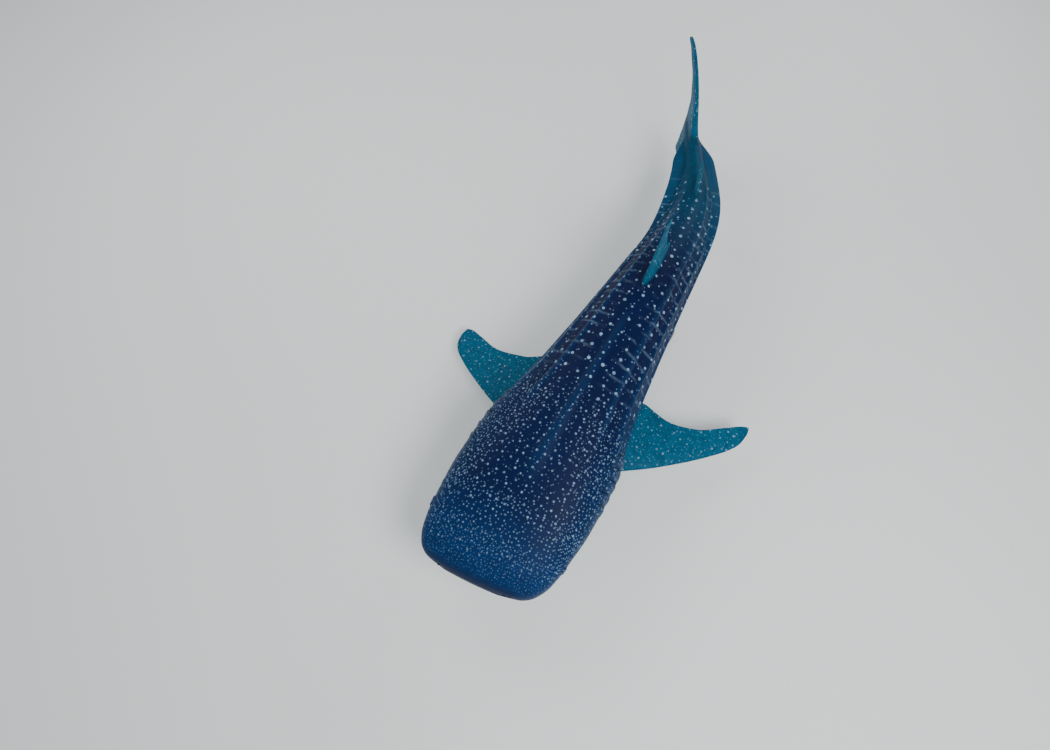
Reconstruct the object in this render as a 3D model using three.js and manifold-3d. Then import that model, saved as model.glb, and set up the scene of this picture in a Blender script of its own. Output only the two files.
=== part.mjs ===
// A life-size whale shark, swimming with a slow bend of the tail, on a plain display stand.
// Millimetres, +Z up. The head points along -Y, the shark's left side is +X, and the origin is
// the middle of the underside of the stand's base.
import * as THREE from "three";
import { mergeVertices } from "three/addons/utils/BufferGeometryUtils.js";
import Module from "manifold-3d";

const wasm = await Module();
wasm.setup();
const { Manifold, Mesh: SolidMesh } = wasm;

// Driving dimensions.
const LENGTH = 6000; // the measure that shares are taken of; the tail ends at 0.915 of it
const AXIS_HEIGHT = 700; // the body's axis above the floor
const GAP = 0.3; // between touching nodes
const TRUNK_LENGTH_AHEAD = 0.36; // share of the length that lies ahead of the stand's middle
const HEAD_TURN_DEG = -1.5; // the head's slight turn, eased out over HEAD_TURN_TO
const HEAD_TURN_TO = 0.3;
const SNOUT_SKEW = 0.1; // how much farther forward the snout reaches on the right side
const SNOUT_SKEW_TO = 0.12;
const SNOUT_BULGE = 0.006; // how far the middle of the front edge bows forward
const SNOUT_BULGE_TO = 0.05;
const SNOUT_BULGE_HALF = 0.09;
const TAIL_BEND_DEG = -29.5; // how far the tail swings to the shark's right
const BEND_FROM = 0.535; // shares of the length between which the trunk bends
const BEND_TO = 0.775;
const TAIL_FIN_BEND_DEG = -25; // a further turn along the tail fin
const TAIL_FIN_TO = 0.97;

// Stations along the body, as shares of the length: half width, back above the axis, belly
// below it, and the squareness of the section.
const BODY_STATIONS = [
  { at: 0.0, half: 0.0383, back: 0.008, belly: 0.012, square: 2.4 }, // snout
  { at: 0.004, half: 0.069, back: 0.0165, belly: 0.0215, square: 2.6 },
  { at: 0.014, half: 0.0837, back: 0.027, belly: 0.031, square: 2.8 }, // lips
  { at: 0.035, half: 0.0939, back: 0.038, belly: 0.043, square: 2.8 }, // mouth corners
  { at: 0.07, half: 0.0996, back: 0.049, belly: 0.056, square: 2.7 }, // eyes
  { at: 0.13, half: 0.105, back: 0.061, belly: 0.069, square: 2.5 }, // widest
  { at: 0.2, half: 0.103, back: 0.07, belly: 0.076, square: 2.3 }, // gills
  { at: 0.3, half: 0.0805, back: 0.077, belly: 0.078, square: 2.15 }, // behind the pectoral fins
  { at: 0.44, half: 0.0627, back: 0.077, belly: 0.069, square: 2.1 }, // first dorsal fin
  { at: 0.56, half: 0.0503, back: 0.062, belly: 0.052, square: 2.0 }, // pelvic fins
  { at: 0.68, half: 0.0302, back: 0.04, belly: 0.03, square: 2.0 }, // second dorsal fin
  { at: 0.76, half: 0.0182, back: 0.0265, belly: 0.018, square: 2.0 }, // stalk
  { at: 0.8, half: 0.0142, back: 0.021, belly: 0.013, square: 2.0 },
  { at: 0.845, half: 0.006, back: 0.012, belly: 0.005, square: 2.0 }, // inside the tail fin
];
const SNOUT_DENSE_TO = 0.035;
const SNOUT_RINGS = 7;
const BODY_RINGS = 32;

// Ridges that run along the back and flanks: angle from the top of the section, where each
// starts, and its height as a share of the length.
const RIDGES = [
  { angle: 0, from: 0.12, to: 0.43, height: 0.0025 },
  { angle: 32, from: 0.2, to: 0.72, height: 0.0028 },
  { angle: 56, from: 0.2, to: 0.74, height: 0.003 },
  { angle: 80, from: 0.24, to: 0.815, height: 0.003 },
];
const KEEL_HEIGHT = 0.0165; // the lowest ridge grows to this on the stalk
const KEEL_FROM = 0.55;
const KEEL_FULL = 0.69;
const KEEL_SPREAD_DEG = 9;
const RIDGE_SPREAD_DEG = 3.2;
const RIDGE_FADE = 0.06;

// Where the body is parted into head, trunk and tail.
const HEAD_END = 0.246;
const TRUNK_END = 0.605;

// Small helpers.
const radians = (degrees) => (degrees * Math.PI) / 180;
const clamp01 = (x) => Math.min(1, Math.max(0, x));
const easeInOut = (x) => clamp01(x) ** 2 * (3 - 2 * clamp01(x));
const range = (count) => Array.from({ length: count }, (_, i) => i);

// A smooth curve through the points (xs, ys) that never overshoots them.
function smoothCurve(xs, ys) {
  const slopes = range(xs.length - 1).map((i) => (ys[i + 1] - ys[i]) / (xs[i + 1] - xs[i]));
  const tangents = xs.map((_, i) => {
    if (i === 0) return slopes[0];
    if (i === xs.length - 1) return slopes[i - 1];
    const [a, b] = [slopes[i - 1], slopes[i]];
    if (a * b <= 0) return 0;
    const [before, after] = [xs[i] - xs[i - 1], xs[i + 1] - xs[i]];
    const [wa, wb] = [before + 2 * after, 2 * before + after];
    return (wa + wb) / (wa / a + wb / b);
  });
  return (x) => {
    let i = 0;
    while (i < xs.length - 2 && x > xs[i + 1]) i += 1;
    const width = xs[i + 1] - xs[i];
    const t = Math.min(1, Math.max(0, (x - xs[i]) / width));
    const [t2, t3] = [t * t, t * t * t];
    return (
      ys[i] * (2 * t3 - 3 * t2 + 1) +
      tangents[i] * width * (t3 - 2 * t2 + t) +
      ys[i + 1] * (3 * t2 - 2 * t3) +
      tangents[i + 1] * width * (t3 - t2)
    );
  };
}

const stationCurve = (key) =>
  smoothCurve(
    BODY_STATIONS.map((station) => station.at),
    BODY_STATIONS.map((station) => station[key]),
  );
const halfWidthAt = stationCurve("half");
const backAt = stationCurve("back");
const bellyAt = stationCurve("belly");
const squarenessAt = stationCurve("square");
const BODY_END = BODY_STATIONS.at(-1).at;

// The swimming pose: body coordinates (along, side, up), as shares of the length, to mm.
const SPINE_STEPS = 400;
const SPINE_MOST = 1.1;
function headingAt(along) {
  const head = 1 - easeInOut(along / HEAD_TURN_TO);
  const trunk = easeInOut((along - BEND_FROM) / (BEND_TO - BEND_FROM));
  const fin = easeInOut((along - BEND_TO) / (TAIL_FIN_TO - BEND_TO));
  return radians(HEAD_TURN_DEG * head + TAIL_BEND_DEG * trunk + TAIL_FIN_BEND_DEG * fin);
}
const SPINE = range(SPINE_STEPS + 1).map((i) => (i / SPINE_STEPS) * SPINE_MOST);
const spineX = [0];
const spineY = [0];
for (const i of range(SPINE_STEPS)) {
  const step = (SPINE[i + 1] - SPINE[i]) * LENGTH;
  const heading = headingAt((SPINE[i] + SPINE[i + 1]) / 2);
  spineX.push(spineX[i] + Math.sin(heading) * step);
  spineY.push(spineY[i] + Math.cos(heading) * step);
}
function between(values, along) {
  const place = Math.min(SPINE_STEPS - 1, Math.max(0, Math.floor((along / SPINE_MOST) * SPINE_STEPS)));
  const t = (along - SPINE[place]) / (SPINE[place + 1] - SPINE[place]);
  return values[place] + (values[place + 1] - values[place]) * t;
}
const middleX = between(spineX, TRUNK_LENGTH_AHEAD);
const middleY = between(spineY, TRUNK_LENGTH_AHEAD);
const spinePoint = (along) => [between(spineX, along) - middleX, between(spineY, along) - middleY];
function pose([along, side, up]) {
  const heading = headingAt(along);
  const skew = SNOUT_SKEW * side * (1 - easeInOut(along / SNOUT_SKEW_TO));
  const bow = clamp01(1 - (side / SNOUT_BULGE_HALF) ** 2) * (1 - easeInOut(along / SNOUT_BULGE_TO));
  const [x, y] = spinePoint(along + skew - SNOUT_BULGE * bow);
  return [
    x + Math.cos(heading) * side * LENGTH,
    y - Math.sin(heading) * side * LENGTH,
    AXIS_HEIGHT + up * LENGTH,
  ];
}

// Solids.
function toSolid(positions, triangles) {
  const raw = new THREE.BufferGeometry();
  raw.setAttribute("position", new THREE.Float32BufferAttribute(positions.flat(), 3));
  raw.setIndex(triangles.flat());
  return fromGeometry(raw);
}
function fromGeometry(geometry) {
  const bare = geometry.clone();
  bare.deleteAttribute("normal");
  bare.deleteAttribute("uv");
  const merged = mergeVertices(bare, 1e-3);
  const solid = new Manifold(
    new SolidMesh({
      numProp: 3,
      vertProperties: new Float32Array(merged.attributes.position.array),
      triVerts: new Uint32Array(merged.index.array),
    }),
  );
  if (solid.volume() >= 0) return solid;
  const flipped = new Uint32Array(merged.index.array);
  for (let i = 0; i < flipped.length; i += 3) {
    [flipped[i + 1], flipped[i + 2]] = [flipped[i + 2], flipped[i + 1]];
  }
  return new Manifold(
    new SolidMesh({
      numProp: 3,
      vertProperties: new Float32Array(merged.attributes.position.array),
      triVerts: flipped,
    }),
  );
}
// Rings of equally many points, joined into a closed skin with a fan at each end.
function loft(rings) {
  const count = rings[0].length;
  const positions = rings.flat();
  const triangles = [];
  for (const i of range(rings.length - 1)) {
    for (const j of range(count)) {
      const k = (j + 1) % count;
      const [a, b, c, d] = [i * count + j, i * count + k, (i + 1) * count + k, (i + 1) * count + j];
      triangles.push([a, b, c], [a, c, d]);
    }
  }
  for (const [ring, start] of [
    [rings[0], 0],
    [rings.at(-1), (rings.length - 1) * count],
  ]) {
    const middle = positions.length;
    positions.push([0, 1, 2].map((axis) => ring.reduce((sum, p) => sum + p[axis], 0) / count));
    for (const j of range(count)) {
      const k = (j + 1) % count;
      triangles.push(start === 0 ? [middle, start + k, start + j] : [middle, start + j, start + k]);
    }
  }
  return toSolid(positions, triangles);
}
const largest = (solid) =>
  solid.decompose().reduce((best, piece) => (piece.volume() > best.volume() ? piece : best));
const joinAll = (solids) => solids.reduce((sum, solid) => sum.add(solid));

// The body's surface.
const RING_ANGLES = (() => {
  const near = RIDGES.flatMap(({ angle }) => [angle - 4, angle, angle + 4]).filter((a) => a >= 0);
  const side = [...near, 14, 24, 44, 68, 92, 104, 116, 128, 141, 154, 167, 180].sort((a, b) => a - b);
  const other = side.slice(1, -1).map((angle) => 360 - angle);
  return [...side, ...other.reverse()];
})();

function ridgeRise(along, angle) {
  const folded = angle > 180 ? 360 - angle : angle;
  let rise = 0;
  for (const ridge of RIDGES) {
    const fade =
      easeInOut((along - ridge.from) / RIDGE_FADE) * easeInOut((ridge.to - along) / RIDGE_FADE);
    const isKeel = ridge === RIDGES.at(-1);
    const growth = isKeel ? easeInOut((along - KEEL_FROM) / (KEEL_FULL - KEEL_FROM)) : 0;
    const height = ridge.height + (KEEL_HEIGHT - ridge.height) * growth;
    const spread = RIDGE_SPREAD_DEG + (KEEL_SPREAD_DEG - RIDGE_SPREAD_DEG) * growth;
    rise += height * fade * Math.exp(-(((folded - ridge.angle) / spread) ** 2));
  }
  return rise;
}

// A point of the skin in body coordinates, raised by a share of the length.
function skinPoint(along, angle, raised = 0) {
  const power = 2 / squarenessAt(along);
  const [sin, cos] = [Math.sin(radians(angle)), Math.cos(radians(angle))];
  const side = Math.sign(sin) * Math.abs(sin) ** power * halfWidthAt(along);
  const depth = cos > 0 ? backAt(along) : bellyAt(along);
  const up = Math.sign(cos) * Math.abs(cos) ** power * depth;
  const out = Math.hypot(side, up) || 1;
  const rise = raised + ridgeRise(along, angle);
  return [along, side * (1 + rise / out), up * (1 + rise / out)];
}

function bodySolid(growth) {
  const raised = growth / LENGTH;
  const rings = [];
  for (const i of range(SNOUT_RINGS)) {
    rings.push(SNOUT_DENSE_TO * (1 - Math.cos((i / SNOUT_RINGS) * Math.PI * 0.5)));
  }
  for (const i of range(BODY_RINGS + 1)) {
    rings.push(SNOUT_DENSE_TO + (BODY_END - SNOUT_DENSE_TO) * (i / BODY_RINGS));
  }
  const stretched = rings.map((along, i) => {
    const shift = i === 0 ? -raised : i === rings.length - 1 ? raised : 0;
    return RING_ANGLES.map((angle) => {
      const [a, side, up] = skinPoint(along, angle, raised);
      return pose([a + shift, side, up]);
    });
  });
  return loft(stretched);
}

// Fins: rows of span share, leading edge and trailing edge along the body.
const FIN_SECTIONS = 14;
const CHORD_POINTS = 8;
const EDGE_HALF = 2.5; // half the thickness of a trailing edge, mm

// Half the thickness of a streamlined section, as a share of its full thickness.
const foil = (c) =>
  5 * (0.2969 * Math.sqrt(c) - 0.126 * c - 0.3516 * c ** 2 + 0.2843 * c ** 3 - 0.1036 * c ** 4);

// place(t) gives the side and up coordinates of the fin's middle plane, and the direction of
// its thickness, at the span share t.
function finSolid({ outline, place, thickness, sections = FIN_SECTIONS }) {
  const spans = outline.map((row) => row[0]);
  const leading = smoothCurve(spans, outline.map((row) => row[1]));
  const trailing = smoothCurve(spans, outline.map((row) => row[2]));
  const rings = range(sections + 1).map((i) => {
    const t = Math.sin((i / sections) * Math.PI * 0.5);
    const [front, rear] = [leading(t), trailing(t)];
    const { side, up, across } = place(t);
    const full = thickness * (rear - front) * (1 - 0.25 * t);
    const ringSide = (sign) =>
      range(CHORD_POINTS + 1).map((j) => {
        const c = 0.5 * (1 - Math.cos((j / CHORD_POINTS) * Math.PI));
        const half = full * foil(c) + (EDGE_HALF / LENGTH) * Math.min(1, 4 * c + 0.02);
        const along = front + (rear - front) * c;
        return pose([along, side + across[0] * half * sign, up + across[1] * half * sign]);
      });
    return [...ringSide(1), ...ringSide(-1).reverse()];
  });
  return loft(rings);
}

const ROOT_DEPTH = 0.03; // how far each fin's root reaches into the body before it is cut

const uprightFin = ({ base, height, lean = 0, thickness, outline }) =>
  finSolid({
    outline,
    thickness,
    place: (t) => ({
      side: lean * t * Math.abs(height),
      up: base + Math.sign(height) * (-ROOT_DEPTH + (Math.abs(height) + ROOT_DEPTH) * t),
      across: [1, 0],
    }),
  });

function pairedFin({ sign, root, span, droopDeg, curlDeg, thickness, outline, sections }) {
  const steps = 40;
  const path = [[root[0], root[1]]];
  for (const i of range(steps)) {
    const droop = radians(droopDeg + curlDeg * ((i + 0.5) / steps));
    const [side, up] = path[i];
    path.push([side + (Math.cos(droop) * span) / steps, up - (Math.sin(droop) * span) / steps]);
  }
  return finSolid({
    outline,
    thickness,
    sections,
    place: (t) => {
      const at = Math.min(steps - 1, Math.floor(t * steps));
      const part = t * steps - at;
      const droop = radians(droopDeg + curlDeg * t);
      return {
        side: sign * (path[at][0] + (path[at + 1][0] - path[at][0]) * part),
        up: path[at][1] + (path[at + 1][1] - path[at][1]) * part,
        across: [sign * Math.sin(droop), Math.cos(droop)],
      };
    },
  });
}

// The pectoral outline is swept back by a share of the length that grows along the span.
const PECTORAL_ROOT = { side: 0.055, up: -0.042 };
const PECTORAL_OUTLINE = [
  [0.0, 0.217, 0.344],
  [0.16, 0.2245, 0.3415],
  [0.35, 0.2376, 0.3275],
  [0.6, 0.26, 0.3233],
  [0.82, 0.2835, 0.3357],
  [0.94, 0.3003, 0.3425],
  [0.99, 0.314, 0.3419],
  [1.0, 0.3245, 0.3332],
];
const PECTORAL = {
  left: { sign: 1, sweep: 0.07, span: 0.182, droopDeg: 5, curlDeg: 10 },
  right: { sign: -1, sweep: -0.01, span: 0.189, droopDeg: 11.5, curlDeg: 10 },
};
const sweptOutline = (outline, sweep) =>
  outline.map(([t, front, rear]) => [t, front + sweep * t ** 1.3, rear + sweep * t ** 1.3]);

const PELVIC_ROOT = { side: 0.018, up: -0.033, span: 0.048 };
const PELVIC_OUTLINE = [
  [0.0, 0.537, 0.583],
  [0.4, 0.545, 0.593],
  [0.75, 0.56, 0.599],
  [0.95, 0.578, 0.6005],
  [1.0, 0.589, 0.597],
];
const FIRST_DORSAL = {
  base: 0.076,
  height: 0.078,
  lean: -0.1, // the tip leans to the right
  thickness: 0.13,
  outline: [
    [0.0, 0.441, 0.512],
    [0.25, 0.446, 0.518],
    [0.32, 0.4535, 0.54],
    [0.45, 0.463, 0.524],
    [0.7, 0.4845, 0.5195],
    [0.88, 0.501, 0.526],
    [0.96, 0.5095, 0.5265],
    [1.0, 0.517, 0.5235],
  ],
};
const SECOND_DORSAL = {
  base: 0.041,
  height: 0.036,
  thickness: 0.12,
  outline: [
    [0.0, 0.648, 0.69],
    [0.45, 0.652, 0.694],
    [0.53, 0.656, 0.711],
    [0.68, 0.6655, 0.702],
    [0.88, 0.682, 0.704],
    [1.0, 0.696, 0.7025],
  ],
};
const ANAL_FIN = {
  base: -0.029,
  height: -0.036,
  thickness: 0.12,
  outline: [
    [0.0, 0.664, 0.702],
    [0.45, 0.668, 0.706],
    [0.53, 0.672, 0.722],
    [0.68, 0.6805, 0.713],
    [0.88, 0.697, 0.716],
    [1.0, 0.711, 0.717],
  ],
};
const UPPER_TAIL_LOBE = {
  base: 0.03,
  height: 0.09,
  thickness: 0.17,
  outline: [
    [0.0, 0.765, 0.858],
    [0.15, 0.773, 0.86],
    [0.3, 0.8, 0.8615],
    [0.5, 0.8275, 0.8725],
    [0.7, 0.855, 0.89],
    [0.87, 0.88, 0.908],
    [0.96, 0.8955, 0.918],
    [1.0, 0.907, 0.9145],
  ],
};
const LOWER_TAIL_LOBE = {
  base: -0.012,
  height: -0.075,
  thickness: 0.14,
  outline: [
    [0.0, 0.772, 0.858],
    [0.25, 0.776, 0.86],
    [0.45, 0.794, 0.861],
    [0.65, 0.8145, 0.8625],
    [0.85, 0.8355, 0.8665],
    [0.95, 0.847, 0.867],
    [1.0, 0.8555, 0.8625],
  ],
};
const LOBES_MEET = 0.012; // height of the level cut between the two tail lobes

// The head's details.
const MOUTH = { level: -0.006, corner: 0.047, drop: 0.008, inward: 0.14, half: 0.0018, steps: 26 };
const LIP = { radius: 0.0021, away: 0.0036, sides: 5 };
const EYE = { at: 0.062, angle: 82, radius: 0.0042, sunk: 0.0016, lid: 0.0055, rim: 0.0014 };
const SPIRACLE = { at: 0.087, angle: 76, radius: 0.0022 };
const NOSTRIL = { side: 0.053, along: 0.002, up: 0.0025, radius: 0.0022, barbel: 0.0019 };
const GILLS = { first: 0.158, pitch: 0.0185, count: 5, slit: 0.0022, deep: 0.0045, flap: 0.0016 };
const GILL_TOP_DEG = 58;
const GILL_BOTTOM_DEG = 106;

const ball = (radius, centre, width = 10, height = 6) => {
  const geometry = new THREE.SphereGeometry(radius, width, height);
  geometry.translate(...centre);
  return fromGeometry(geometry);
};

// The mouth's line on the skin: share a from -1 (right corner) to 1 (left corner).
function mouthPoint(a, scale, up = 0) {
  const level = MOUTH.level - MOUTH.drop * Math.abs(a) ** 4 + up;
  const front = mouthFront(a);
  const centre = MOUTH.corner * 1.6;
  return [centre + (front[0] - centre) * scale, front[1] * scale, level];
}
// The outline of the head at the mouth's level, from the middle of the snout round to a corner.
function mouthFront(a) {
  const reach = halfWidthAt(MOUTH.corner);
  const turn = radians(90 * Math.abs(a));
  const side = Math.sign(a) * reach * Math.sin(turn) ** 0.8;
  let [low, high] = [0, MOUTH.corner];
  for (let i = 0; i < 30; i += 1) {
    const middle = (low + high) / 2;
    if (halfWidthAt(middle) < Math.abs(side)) low = middle;
    else high = middle;
  }
  return [Math.abs(side) < halfWidthAt(0) ? 0 : low, side];
}

function mouthSlot() {
  const rings = range(MOUTH.steps + 1).map((i) => {
    const a = -1 + (2 * i) / MOUTH.steps;
    const open = MOUTH.half * (0.25 + 0.75 * Math.cos(radians(90 * a)) ** 0.5);
    const [outer, inner] = [mouthPoint(a, 1.12), mouthPoint(a, 1 - MOUTH.inward)];
    return [
      [outer[0], outer[1], outer[2] + open],
      [outer[0], outer[1], outer[2] - open],
      [inner[0], inner[1], inner[2] - open * 0.4],
      [inner[0], inner[1], inner[2] + open * 0.4],
    ].map(pose);
  });
  return loft(rings);
}

function lip(sign) {
  const rings = range(MOUTH.steps + 1).map((i) => {
    const a = -0.98 + (1.96 * i) / MOUTH.steps;
    const thin = 0.35 + 0.65 * Math.cos(radians(88 * a)) ** 0.5;
    const centre = mouthPoint(a, 0.985, sign * LIP.away * (0.3 + 0.7 * thin));
    const ahead = mouthPoint(a, 1.5);
    const out = new THREE.Vector2(ahead[0] - centre[0], ahead[1] - centre[1]).normalize();
    return range(LIP.sides).map((j) => {
      const turn = (j / LIP.sides) * Math.PI * 2;
      const reach = Math.cos(turn) * LIP.radius * thin;
      const rise = Math.sin(turn) * LIP.radius * thin;
      return pose([centre[0] + out.x * reach, centre[1] + out.y * reach, centre[2] + rise]);
    });
  });
  return loft(rings);
}

const GILL_STEPS = 7;
function gillParts(index, sign) {
  const at = GILLS.first + GILLS.pitch * index;
  const shade = 1 - 0.06 * index;
  const rows = range(GILL_STEPS + 1).map((i) => {
    const t = i / GILL_STEPS;
    const angle = GILL_TOP_DEG + (GILL_BOTTOM_DEG - GILL_TOP_DEG) * shade * t;
    const bow = 0.006 * Math.sin(Math.PI * t);
    return { t, angle: sign > 0 ? angle : 360 - angle, along: at + bow };
  });
  const swell = (t) => 0.2 + 0.8 * Math.sin(Math.PI * t) ** 0.6;
  const flap = rows.map(({ t, angle, along }) => [
    pose(skinPoint(along - 0.013, angle, -0.0008)),
    pose(skinPoint(along - 0.0005, angle, GILLS.flap * swell(t))),
    pose(skinPoint(along, angle, -GILLS.deep * 0.5)),
    pose(skinPoint(along - 0.012, angle, -GILLS.deep * 0.5)),
  ]);
  const slit = rows.map(({ t, angle, along }) => [
    pose(skinPoint(along, angle, GILLS.flap * 2)),
    pose(skinPoint(along + GILLS.slit * swell(t), angle, GILLS.flap * 2)),
    pose(skinPoint(along + GILLS.slit * 0.4 * swell(t), angle, -GILLS.deep * swell(t))),
    pose(skinPoint(along, angle, -GILLS.deep * swell(t))),
  ]);
  return { flap: loft(flap), slit: loft(slit) };
}

function eyeSpot(sign, { at, angle }, sunk = 0) {
  return pose(skinPoint(at, sign > 0 ? angle : 360 - angle, -sunk));
}

function lidRing(sign) {
  const centre = eyeSpot(sign, EYE, EYE.sunk * 0.4);
  const ring = new THREE.TorusGeometry(EYE.lid * LENGTH, EYE.rim * LENGTH, 5, 16);
  ring.rotateY(Math.PI / 2);
  ring.rotateZ(sign * radians(-9));
  ring.translate(...centre);
  return fromGeometry(ring);
}

// The stand.
const BASE = { length: 2100, width: 720, thick: 60, corner: 160, bevel: 12 };
const ROD_RADIUS = 55;
const ROD_COLLAR = { radius: 95, height: 22 };
const RODS = { front: 0.21, rear: 0.49 };

function baseSolid() {
  const [x, y, r] = [BASE.width / 2 - BASE.bevel, BASE.length / 2 - BASE.bevel, BASE.corner];
  const outline = new THREE.Shape();
  outline.moveTo(-x + r, -y);
  outline.lineTo(x - r, -y);
  outline.absarc(x - r, -y + r, r, -Math.PI / 2, 0, false);
  outline.lineTo(x, y - r);
  outline.absarc(x - r, y - r, r, 0, Math.PI / 2, false);
  outline.lineTo(-x + r, y);
  outline.absarc(-x + r, y - r, r, Math.PI / 2, Math.PI, false);
  outline.lineTo(-x, -y + r);
  outline.absarc(-x + r, -y + r, r, Math.PI, Math.PI * 1.5, false);
  const plate = new THREE.ExtrudeGeometry(outline, {
    depth: BASE.thick - 2 * BASE.bevel,
    bevelSize: BASE.bevel,
    bevelThickness: BASE.bevel,
    bevelSegments: 2,
    curveSegments: 6,
  });
  plate.translate(0, 0, BASE.bevel);
  return fromGeometry(plate);
}

// A round rod with a collar at its foot, up through the belly, before the body is cut from it.
function rodSolid(along) {
  const [x, y] = spinePoint(along);
  const foot = BASE.thick + GAP;
  const profile = [
    [0, 0],
    [ROD_COLLAR.radius, 0],
    [ROD_COLLAR.radius, ROD_COLLAR.height * 0.7],
    [ROD_COLLAR.radius - 8, ROD_COLLAR.height],
    [ROD_RADIUS, ROD_COLLAR.height],
    [ROD_RADIUS, AXIS_HEIGHT - foot],
    [0, AXIS_HEIGHT - foot],
  ].map(([radius, height]) => new THREE.Vector2(radius, height));
  const rod = new THREE.LatheGeometry(profile, 24);
  rod.rotateX(Math.PI / 2);
  rod.translate(x, y, foot);
  return fromGeometry(rod);
}

// Everything put together.
const body = bodySolid(0);
const bodyGrown = bodySolid(GAP);

// The half space behind a cut across the body.
function behind(along, slack) {
  const size = LENGTH * 2;
  const box = new THREE.BoxGeometry(size, size, size);
  box.translate(0, size / 2 + slack, 0);
  box.rotateZ(-headingAt(along));
  box.translate(...spinePoint(along), AXIS_HEIGHT);
  return fromGeometry(box);
}

const gills = range(GILLS.count).flatMap((i) => [gillParts(i, 1), gillParts(i, -1)]);
const eyes = [1, -1].map((sign) => ({ sign, centre: eyeSpot(sign, EYE, EYE.sunk) }));

function headSolid() {
  const nostrils = [1, -1].map((sign) =>
    pose([NOSTRIL.along, sign * NOSTRIL.side, MOUTH.level + NOSTRIL.up + 0.008]),
  );
  const barbels = [1, -1].map((sign) =>
    pose([NOSTRIL.along + 0.0005, sign * (NOSTRIL.side - 0.005), MOUTH.level + 0.0065]),
  );
  const whole = joinAll([
    body.subtract(behind(HEAD_END, 0)),
    lip(1),
    lip(-1),
    ...gills.map((gill) => gill.flap),
    ...[1, -1].map(lidRing),
    ...barbels.map((spot) => ball(NOSTRIL.barbel * LENGTH, spot)),
  ]);
  const cuts = joinAll([
    mouthSlot(),
    ...gills.map((gill) => gill.slit),
    ...eyes.map(({ centre }) => ball(EYE.radius * LENGTH + GAP, centre, 16, 10)),
    ...nostrils.map((spot) => ball(NOSTRIL.radius * LENGTH, spot)),
    ...[1, -1].map((sign) => ball(SPIRACLE.radius * LENGTH, eyeSpot(sign, SPIRACLE))),
  ]);
  return largest(whole.subtract(cuts).subtract(behind(HEAD_END, -GAP)));
}

const headNode = headSolid();
const behindHead = behind(HEAD_END, 0);
const trunkNode = largest(body.intersect(behindHead).subtract(behind(TRUNK_END, -GAP)));
const tailNode = largest(body.intersect(behind(TRUNK_END, 0)));

const finCut = (fin, ...others) =>
  largest(others.reduce((rest, other) => rest.subtract(other), fin.subtract(bodyGrown)));

const upperLobe = uprightFin(UPPER_TAIL_LOBE);
const lowerLobe = uprightFin(LOWER_TAIL_LOBE);
const levelBox = (from, to) => {
  const size = LENGTH * 2;
  const box = new THREE.BoxGeometry(size, size, (to - from) * LENGTH);
  box.translate(0, 0, AXIS_HEIGHT + ((from + to) / 2) * LENGTH);
  return fromGeometry(box);
};

const pectoral = ({ sign, sweep, span, droopDeg, curlDeg }) =>
  pairedFin({
    sign,
    root: [PECTORAL_ROOT.side, PECTORAL_ROOT.up],
    span,
    droopDeg,
    curlDeg,
    thickness: 0.12,
    outline: sweptOutline(PECTORAL_OUTLINE, sweep),
    sections: 18,
  });
const pelvic = (sign) =>
  pairedFin({
    sign,
    root: [PELVIC_ROOT.side, PELVIC_ROOT.up],
    span: PELVIC_ROOT.span,
    droopDeg: 46,
    curlDeg: 6,
    thickness: 0.11,
    outline: PELVIC_OUTLINE,
    sections: 10,
  });
const flapHulls = joinAll(gills.map((gill) => gill.flap));

// Materials.
const paint = (color, roughness, metalness = 0) =>
  new THREE.MeshStandardMaterial({ color, roughness, metalness });
const hide = paint(0x16395e, 0.55);
const finHide = paint(0x1b4a6c, 0.55);
const eyeGloss = paint(0x0a0d12, 0.15);
const standPaint = paint(0x3a3d40, 0.5, 0.3);

// The model.
const model = new THREE.Group();
function addNode(name, solid, material) {
  const { numProp, numVert, vertProperties, triVerts } = solid.getMesh();
  const positions = new Float32Array(numVert * 3);
  for (const i of range(numVert)) {
    positions.set(vertProperties.subarray(i * numProp, i * numProp + 3), i * 3);
  }
  const geometry = new THREE.BufferGeometry();
  geometry.setAttribute("position", new THREE.BufferAttribute(positions, 3));
  geometry.setIndex(new THREE.BufferAttribute(new Uint32Array(triVerts), 1));
  geometry.computeVertexNormals();
  const mesh = new THREE.Mesh(geometry, material);
  mesh.name = name;
  model.add(mesh);
}

addNode("head", headNode, hide);
addNode("trunk", trunkNode, hide);
addNode("tail", tailNode, hide);
for (const [name, { sign, centre }] of [
  ["eye_left", eyes[0]],
  ["eye_right", eyes[1]],
]) {
  addNode(name, ball(EYE.radius * LENGTH, centre, 16, 10), eyeGloss);
}
addNode("pectoral_fin_left", finCut(pectoral(PECTORAL.left), flapHulls), finHide);
addNode("pectoral_fin_right", finCut(pectoral(PECTORAL.right), flapHulls), finHide);
addNode("pelvic_fin_left", finCut(pelvic(1)), finHide);
addNode("pelvic_fin_right", finCut(pelvic(-1)), finHide);
addNode("first_dorsal_fin", finCut(uprightFin(FIRST_DORSAL)), finHide);
addNode("second_dorsal_fin", finCut(uprightFin(SECOND_DORSAL)), finHide);
addNode("anal_fin", finCut(uprightFin(ANAL_FIN)), finHide);
addNode(
  "tail_fin_upper_lobe",
  finCut(upperLobe, levelBox(-1, LOBES_MEET + GAP / LENGTH)),
  finHide,
);
addNode("tail_fin_lower_lobe", finCut(lowerLobe, levelBox(LOBES_MEET, 1)), finHide);
addNode("stand_base", baseSolid(), standPaint);
addNode("stand_rod_front", largest(rodSolid(RODS.front).subtract(bodyGrown)), standPaint);
addNode("stand_rod_rear", largest(rodSolid(RODS.rear).subtract(bodyGrown)), standPaint);

export default model;
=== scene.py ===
"""A life-size whale shark, swimming with a slow bend of the tail, on a plain display stand.

Metres, +Z up. The head points along -Y and the shark's left side is +X. The skin is modelled
straight, with its fins, and then bent into the swimming pose, so every marking follows the body.
"""

import math

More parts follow.
